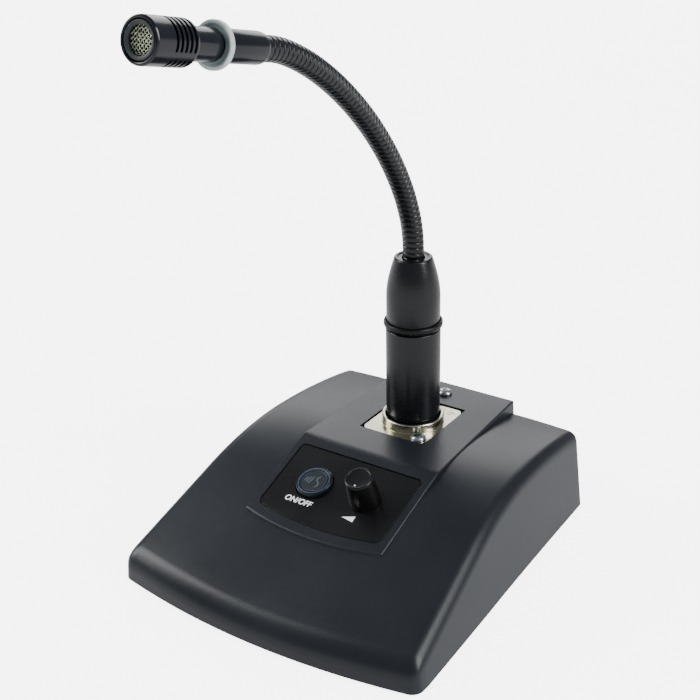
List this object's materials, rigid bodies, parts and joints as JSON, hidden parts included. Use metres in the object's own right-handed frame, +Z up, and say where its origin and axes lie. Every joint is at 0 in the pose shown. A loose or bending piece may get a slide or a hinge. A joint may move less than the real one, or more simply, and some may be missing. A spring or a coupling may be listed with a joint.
{
  "type": "gooseneck podium microphone",
  "caption": "Desktop base with a talk button and a volume knob, a plug-in stem in a panel socket, and a flexible arm that aims a slotted microphone head.",
  "frame": {"origin": "middle of the base's footprint, on the surface that the feet stand on", "axes": "+Z up, +Y to the back where the output connector is, +X to the user's right when facing the control panel"},
  "size_m": [0.1204, 0.1674, 0.2075],
  "materials": {
    "satin_housing": "fine satin texture",
    "plate_black": "smooth, slightly glossy",
    "button_plastic": "satin",
    "button_ring_blue": "translucent, lit from below",
    "knob_plastic": "satin with a polished top edge",
    "nickel": "bright nickel plate",
    "zinc_screw": "zinc plated",
    "plate_steel": "powder coated steel",
    "rubber": "matt",
    "anodised_black": "black anodised, satin",
    "arm_black": "black oxide on a steel winding",
    "insulator": "moulded",
    "gold_contact": "gold plated",
    "circuit_green": "solder mask",
    "light_ring_pearl": "translucent white",
    "lip_grey": "satin",
    "grille_silver": "woven wire",
    "capsule_can": "bare can"
  },
  "bodies": {
    "base": {"housing": "satin_housing", "base_plate": "plate_steel", "foot_rear_left": "rubber", "foot_rear_right": "rubber", "foot_front_left": "rubber", "foot_front_right": "rubber", "base_screw_rear_left": "zinc_screw", "base_screw_rear_right": "zinc_screw", "base_screw_front_left": "zinc_screw", "base_screw_front_right": "zinc_screw", "control_plate": "plate_black", "circuit_board": "circuit_green", "button_switch": "insulator", "pot_body": "zinc_screw", "pot_nut": "zinc_screw", "socket_shell": "nickel", "socket_insert": "insulator", "socket_contact_1": "gold_contact", "socket_contact_2": "gold_contact", "socket_contact_3": "gold_contact", "flange_screw_front": "zinc_screw", "flange_screw_rear": "zinc_screw", "platform_screw": "zinc_screw", "output_shell": "nickel", "output_nut": "zinc_screw", "output_insert": "insulator", "output_pin_1": "gold_contact", "output_pin_2": "gold_contact", "output_pin_3": "gold_contact"},
    "talk_button": {"button_cap": "button_plastic", "button_light_ring": "button_ring_blue", "switch_plunger": "button_plastic"},
    "volume_knob": {"knob": "knob_plastic", "pot_shaft": "zinc_screw"},
    "latch": {"socket_latch": "nickel"},
    "stem": {"plug_barrel": "anodised_black", "plug_insert": "insulator", "plug_pin_1": "gold_contact", "plug_pin_2": "gold_contact", "plug_pin_3": "gold_contact", "stem_ring": "rubber", "stem_sleeve": "anodised_black", "gooseneck_root": "arm_black"},
    "arm_1": {"gooseneck_link_1": "arm_black"},
    "arm_2": {"gooseneck_link_2": "arm_black"},
    "arm_3": {"gooseneck_link_3": "arm_black"},
    "arm_4": {"gooseneck_link_4": "arm_black"},
    "arm_5": {"gooseneck_link_5": "arm_black"},
    "arm_6": {"gooseneck_link_6": "arm_black"},
    "arm_7": {"gooseneck_link_7": "arm_black"},
    "arm_8": {"gooseneck_link_8": "arm_black"},
    "head": {"gooseneck_tip": "arm_black", "rear_ferrule": "anodised_black", "ring_board": "circuit_green", "light_ring": "light_ring_pearl", "head_shell": "anodised_black", "capsule": "capsule_can", "grille": "grille_silver", "grille_ring": "lip_grey"}
  },
  "joints": [
    {"name": "talk_press", "type": "slide", "parent": "base", "child": "talk_button", "axis": [0, 0.3338, -0.9426], "range_m": [0, 0.001], "stiffness_N_per_m": 400, "springref_m": -0.002},
    {"name": "volume_turn", "type": "hinge", "parent": "base", "child": "volume_knob", "pos_m": [0.0105, -0.01588, 0.03079], "axis": [0, -0.3338, 0.9426], "range_deg": [0, 300]},
    {"name": "latch_press", "type": "slide", "parent": "base", "child": "latch", "axis": [0, 0, -1], "range_m": [0, 0.0012], "stiffness_N_per_m": 500, "springref_m": -0.002},
    {"name": "stem_unplug", "type": "slide", "parent": "base", "child": "stem", "axis": [0, 0, 1], "range_m": [0, 0.03]},
    {"name": "arm_bend_1", "type": "hinge", "parent": "stem", "child": "arm_1", "pos_m": [0, 0.033, 0.103], "axis": [1, 0, 0], "range_deg": [-17, 10]},
    {"name": "arm_side_2", "type": "hinge", "parent": "arm_1", "child": "arm_2", "pos_m": [0, 0.03067, 0.11694], "axis": [0, 0.9455, 0.3256], "range_deg": [-12, 12]},
    {"name": "arm_bend_3", "type": "hinge", "parent": "arm_2", "child": "arm_3", "pos_m": [0, 0.02484, 0.12987], "axis": [1, 0, 0], "range_deg": [-17, 10]},
    {"name": "arm_bend_4", "type": "hinge", "parent": "arm_3", "child": "arm_4", "pos_m": [0, 0.01711, 0.14177], "axis": [1, 0, 0], "range_deg": [-17, 10]},
    {"name": "arm_side_5", "type": "hinge", "parent": "arm_4", "child": "arm_5", "pos_m": [0, 0.00813, 0.15276], "axis": [0, 0.7431, 0.6691], "range_deg": [-12, 12]},
    {"name": "arm_bend_6", "type": "hinge", "parent": "arm_5", "child": "arm_6", "pos_m": [0, -0.00186, 0.16284], "axis": [1, 0, 0], "range_deg": [-17, 10]},
    {"name": "arm_bend_7", "type": "hinge", "parent": "arm_6", "child": "arm_7", "pos_m": [0, -0.01273, 0.17197], "axis": [1, 0, 0], "range_deg": [-17, 10]},
    {"name": "arm_side_8", "type": "hinge", "parent": "arm_7", "child": "arm_8", "pos_m": [0, -0.02443, 0.18001], "axis": [0, 0.5225, 0.8526], "range_deg": [-12, 12]},
    {"name": "arm_bend_9", "type": "hinge", "parent": "arm_8", "child": "head", "pos_m": [0, -0.03702, 0.18656], "axis": [1, 0, 0], "range_deg": [-17, 10]}
  ],
  "couplings": [
    {"joint": "arm_bend_3", "follows": "arm_bend_1", "ratio": 1},
    {"joint": "arm_bend_4", "follows": "arm_bend_1", "ratio": 1},
    {"joint": "arm_side_5", "follows": "arm_side_2", "ratio": 1},
    {"joint": "arm_bend_6", "follows": "arm_bend_1", "ratio": 1},
    {"joint": "arm_bend_7", "follows": "arm_bend_1", "ratio": 1},
    {"joint": "arm_side_8", "follows": "arm_side_2", "ratio": 1},
    {"joint": "arm_bend_9", "follows": "arm_bend_1", "ratio": 1}
  ]
}
